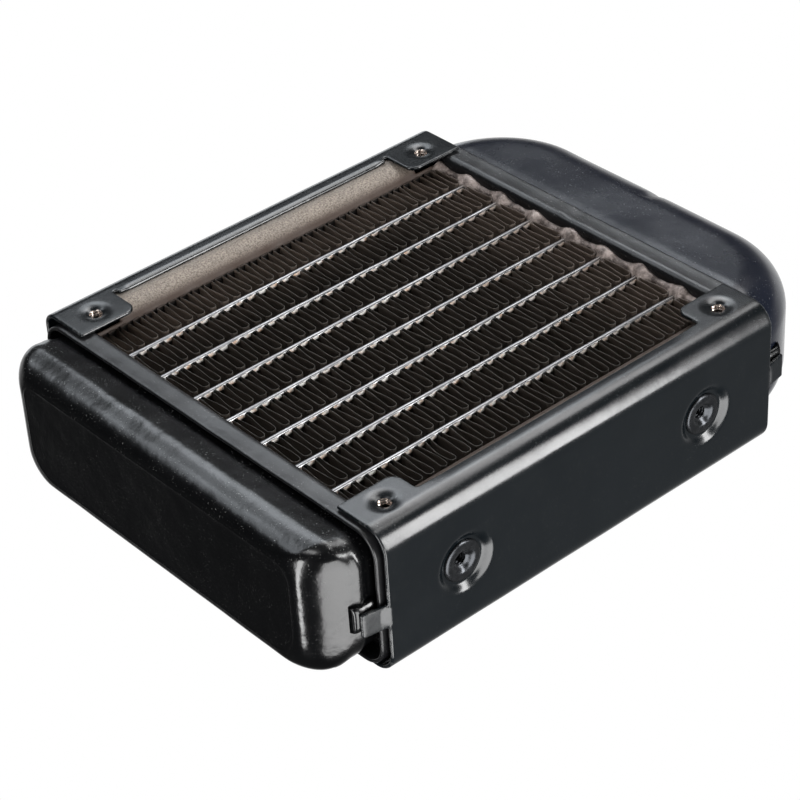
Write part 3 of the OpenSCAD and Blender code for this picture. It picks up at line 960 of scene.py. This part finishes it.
def build_fins(m):
    for row in range(1, 9):
        lo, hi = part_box(f"fin_strip_{row}")
        p = np.array(fin_path(row, lo[1], hi[1]))
        step = np.gradient(p, axis=0)
        step /= np.maximum(np.linalg.norm(step, axis=1, keepdims=True), 1e-12)
        side = np.stack([-step[:, 1], step[:, 0]], 1) * 0.05 * MM
        verts, cols = [], []
        for (x, y), a, b in zip(p, p + side, p - side):
            lift = wobble(x, y, row * 0.05, 5 * MM, 0.18 * MM)
            low, top = lo[2] + 0.12 * MM + lift, hi[2] - 0.12 * MM + lift
            cols.append(list(range(len(verts), len(verts) + 4)))
            verts += [(*a, low), (*a, top), (*b, top), (*b, low)]
        faces = [(q[0], q[3], q[2], q[1]) for q in skin(cols)] + [tuple(cols[0]), tuple(cols[-1][::-1])]
        crests = (p[:-1, 1] == p[:, 1].max()) & (p[1:, 1] == p[:, 1].max())
        marks = [mark for crest in crests for mark in (2 * crest, 1, 2 * crest, 1)] + [0, 0]
        looks = [m["fin"], m["edge"], m["primer"] if row == 8 else m["crest"]]
        piece(f"fin_{row}", verts, faces, looks, [f"fin_strip_{row}"], marks, crease=40)


def build_solder(m):
    """Lumps of solder along both header plates, high beside each tube and sagging between."""
    for end in (PORT_END, RETURN_END):
        for up in (1, -1):
            verts, rows, wear_and_highlight = [], [], []
            columns = 420
            half = CORE_LO[1] + 0.4 * MM
            for k in range(columns + 1):
                y = -half + 2 * half * k / columns
                phase = (y / TUBE_PITCH) % 1
                near = abs(math.cos(math.pi * phase)) ** 3
                size = (1.5 + 1.7 * near) * MM + wobble(y, end, up, 2.5 * MM, 0.7 * MM)
                high = (0.2 + 1.4 * near) * MM + wobble(y, up, end + 3, 3 * MM, 0.5 * MM)
                if end == RETURN_END:
                    size, high = size * 0.6, high - 1.3 * MM
                row = []
                for j in range(13):
                    t = math.pi * j / 12
                    px = PLATE_X + 0.2 * MM - size * math.sin(t)
                    pz = TUBE_HI[2] - MID_Z - 1.6 * MM + (1.6 * MM + high) * -math.cos(t)
                    row.append(len(verts))
                    # Marks the bulging middle of each lump beside a tube for the solder's painted highlight.
                    wear_and_highlight.append(near * math.sin(t) ** 2)
                    verts.append((end * px, y, MID_Z + up * pz))
                rows.append(row)
            faces = skin(rows) + [tuple(rows[0]), tuple(rows[-1][::-1])]
            name = f"solder_{END_NAME[end]}_{'top' if up > 0 else 'low'}"
            piece(name, verts, faces, [m["solder"]], wear_and_highlight=wear_and_highlight)


def build_lug_pads(m):
    """The pressed pads on the tanks that the panels' tongues hook over."""
    verts, faces = [], []
    cells = 18
    swell = [max(0.0, 1 - abs(k / cells * 2 - 1) ** 5) ** 0.5 for k in range(cells + 1)]
    x0, x1 = RIM_X - 0.4 * MM, HALF_L + TONGUE_L + 1.2 * MM
    foot = HALF_W - JOGGLE - PANEL_T - 2.0 * MM
    for end, drop in TONGUE_DROP.items():
        z0, z1 = -drop - TONGUE_W / 2 + 0.4 * MM, -drop + TONGUE_W / 2 + 1.6 * MM
        for side in (LEFT, RIGHT):
            rows = []
            for i in range(cells + 1):
                x = x0 + (x1 - x0) * i / cells
                rows.append(list(range(len(verts), len(verts) + cells + 1)))
                verts += [(end * x, side * (foot + 2.15 * MM * swell[i] * swell[j]),
                           MID_Z + z0 + (z1 - z0) * j / cells) for j in range(cells + 1)]
            ring = rows[0] + [row[-1] for row in rows[1:]] + rows[-1][-2::-1]
            ring += [row[0] for row in rows[-2:0:-1]]
            faces += skin(rows, closed=False) + [tuple(reversed(ring))]
    piece("lug_pads", verts, faces, [m["tank"]])


def build_fittings(m):
    """Brass port fittings with pipe threads, on the underside of the port tank."""
    thread = (6.05 * MM, 0.7 * MM, 1.337 * MM)
    for node in ("port_fitting_inlet", "port_fitting_outlet"):
        lo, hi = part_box(node)
        cx, cy = (lo[0] + hi[0]) / 2, (lo[1] + hi[1]) / 2
        bore = thread_rows(thread[0], 5.9 * MM, 0.6 * MM, thread[2])
        outside = mm_rows((9.05, 0.0), (9.3, 0.25), (9.3, 6.15), (9.05, 6.4), (6.9, 6.4))
        profile = outside + bore + mm_rows((6.9, 0.0))

        def place(x, y, h, cx=cx, cy=cy):
            return (cx + x, cy + y, h)

        verts, faces, marks = revolve(profile, thread, 72, place)
        piece(node + "_threaded", verts, faces, [m["brass"], m["brass"]], [node], marks)


def build_tubes(m):
    """Flat tubes with round edges, a little wavy along their length."""
    bend = 8
    for i in range(1, 8):
        lo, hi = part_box(f"tube_{i}")
        mid_y, half_t = (lo[1] + hi[1]) / 2, (hi[1] - lo[1]) / 2 - 0.26 * MM
        straight = hi[2] - MID_Z - half_t - 0.05 * MM
        section = []
        for up in (1, -1):
            for k in range(bend + 1):
                t = math.pi * k / bend
                section.append((up * half_t * math.cos(t), up * (straight + half_t * math.sin(t))))
        wall = 0.3 * MM
        shrink = 1 - wall / half_t
        verts, outer, inner = [], [], []
        columns = 160
        for k in range(columns + 1):
            x = lo[0] + (hi[0] - lo[0]) * k / columns
            sway = wobble(x, i * 0.03, 0, 14 * MM, 0.14 * MM)
            lift = wobble(x, i * 0.03, 1, 10 * MM, 0.08 * MM) - 0.06 * MM
            for rings, scale, out in ((outer, 1, lift), (inner, shrink, -wall)):
                rings.append(list(range(len(verts), len(verts) + len(section))))
                verts += [(x, mid_y + y * scale + sway, MID_Z + z + out * math.copysign(1, z))
                          for y, z in section]
        faces = []
        for k in range(columns):
            faces += strip_faces(outer[k], outer[k + 1]) + strip_faces(inner[k + 1], inner[k])
        faces += strip_faces(inner[0], outer[0]) + strip_faces(outer[-1], inner[-1])
        piece(f"flat_tube_{i}", verts, faces, [m["tube"]], [f"tube_{i}"])


def dress_divider(m):
    """The divider is the CAD node itself, in brass."""
    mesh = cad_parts["port_divider"].data
    mesh.materials.clear()
    mesh.materials.append(m["brass"])


# ---- floor, light, camera


def build_floor():
    """A white plane that is clear from below and lights nothing."""
    half = 3.0
    mesh = bpy.data.meshes.new("floor")
    corners = [(-half, -half, 0), (half, -half, 0), (half, half, 0), (-half, half, 0)]
    mesh.from_pydata(corners, [], [(0, 1, 2, 3)])
    mesh.materials.append(bpy.data.materials.new("floor_pale"))
    net = Nodes(mesh.materials[0])
    white = net.node("Emission", Strength=1.0).outputs[0]
    below = net.node("NewGeometry").outputs["Backfacing"]
    mixed = net.feed(net.node("MixShader"), {0: below, 1: white, 2: net.node("BsdfTransparent").outputs[0]})
    net.out("OutputMaterial", mixed)
    floor = new_object("floor", mesh)
    floor.location.z = -0.05 * MM
    for ray in ("visible_diffuse", "visible_glossy", "visible_transmission", "visible_shadow"):
        setattr(floor, ray, False)


def aim(azimuth, elevation):
    a, e = math.radians(azimuth), math.radians(elevation)
    return Vector((math.cos(a) * math.cos(e), math.sin(a) * math.cos(e), math.sin(e)))


def lamp(name, azimuth, elevation, wide, high, radiance, tint=(1, 1, 1)):
    """A soft box that faces the radiator and fills wide by high degrees of its view."""
    width = 2 * LAMP_REACH * math.tan(math.radians(wide / 2))
    height = 2 * LAMP_REACH * math.tan(math.radians(high / 2))
    data = bpy.data.lights.new(name, "AREA")
    data.shape = "RECTANGLE"
    data.size = width
    data.size_y = height
    data.energy = radiance * math.pi * width * height
    data.color = tint
    obj = new_object(name, data)
    back = aim(azimuth, elevation)
    obj.location = back * LAMP_REACH + Vector((0, 0, MID_Z))
    obj.rotation_mode = "QUATERNION"
    obj.rotation_quaternion = (-back).to_track_quat("-Z", "Y")


LAMP_REACH = 0.9
COOL = (0.88, 0.94, 1.0)


def build_lights():
    """Azimuths run from +X towards +Y."""
    lamp("right_box", -61, 18, 14, 42, 18.0)
    lamp("right_low", -104, -16, 42, 56, 7.0)
    lamp("top_box", 22, 56, 34, 16, 7.0)
    lamp("top_front", -28, 66, 14, 10, 6.0)
    lamp("top_rear", 178, 66, 30, 12, 6.0)
    lamp("left_strip", 188, -8, 15, 62, 13.0)
    lamp("rear_high", 122, 48, 28, 12, 3.4, COOL)
    lamp("back_low", 70, 2, 40, 12, 1.6, COOL)
    lamp("back_mid", 54, 46, 30, 16, 4.4, COOL)
    lamp("back_high", 86, 51, 32, 11, 3.2, COOL)


def build_world():
    """A dim room, brighter low down behind the radiator. The camera sees it as white."""
    world = bpy.data.worlds.new("studio")
    net = Nodes(world)
    x, y, z = net.node("SeparateXYZ", Vector=net.node("TexCoord").outputs["Generated"]).outputs
    behind = net.math("ADD", net.math("MULTIPLY", x, 0.64), net.math("MULTIPLY", y, 0.77))
    low = net.between(z, 0.15, -0.1)
    glow = net.math("ADD", net.math("MULTIPLY", low, 0.95), 0.05)
    glow = net.math("MULTIPLY", net.between(behind, 0.3, 0.8), glow)
    right = net.math("MULTIPLY", net.between(x, 0.0, 0.6), low)
    level = net.math("ADD", net.math("ADD", 0.04, glow), net.math("MULTIPLY", right, 0.22))
    seen = net.node("LightPath").outputs["Is Camera Ray"]
    strength = net.feed(net.node("Mix", {"data_type": "FLOAT"}), {0: seen, 2: level, 3: 1.25})
    net.out("OutputWorld", net.node("Background", Strength=strength).outputs[0])
    bpy.context.scene.world = world


CAMERA_AT = (-0.33377, -0.40064, 0.38576)
CAMERA_AIM = (-0.00758, -0.0057, 0.0196)
CAMERA_ROLL = math.radians(-3.539)


def build_camera():
    data = bpy.data.cameras.new("camera")
    data.lens, data.sensor_width = 118.31, 36.0
    data.clip_start, data.clip_end = 0.01, 20.0
    camera = new_object("camera", data)
    camera.location = CAMERA_AT
    turn = (Vector(CAMERA_AIM) - camera.location).to_track_quat("-Z", "Y")
    camera.rotation_mode = "QUATERNION"
    camera.rotation_quaternion = turn @ Quaternion((0, 0, 1), CAMERA_ROLL)
    bpy.context.scene.camera = camera


build_camera()
build_floor()
build_lights()
build_world()
MATERIALS = make_materials()
for panel_side in (LEFT, RIGHT):
    build_panel(panel_side, MATERIALS)
    build_inserts(panel_side, MATERIALS)
    build_core_side(panel_side, MATERIALS)
for tank_end in (PORT_END, RETURN_END):
    build_header(tank_end, MATERIALS)
build_return_tank(MATERIALS)
build_port_tank(MATERIALS)
build_fins(MATERIALS)
build_tubes(MATERIALS)
build_solder(MATERIALS)
build_lug_pads(MATERIALS)
build_fittings(MATERIALS)
dress_divider(MATERIALS)
bpy.context.scene.view_settings.view_transform = "Standard"
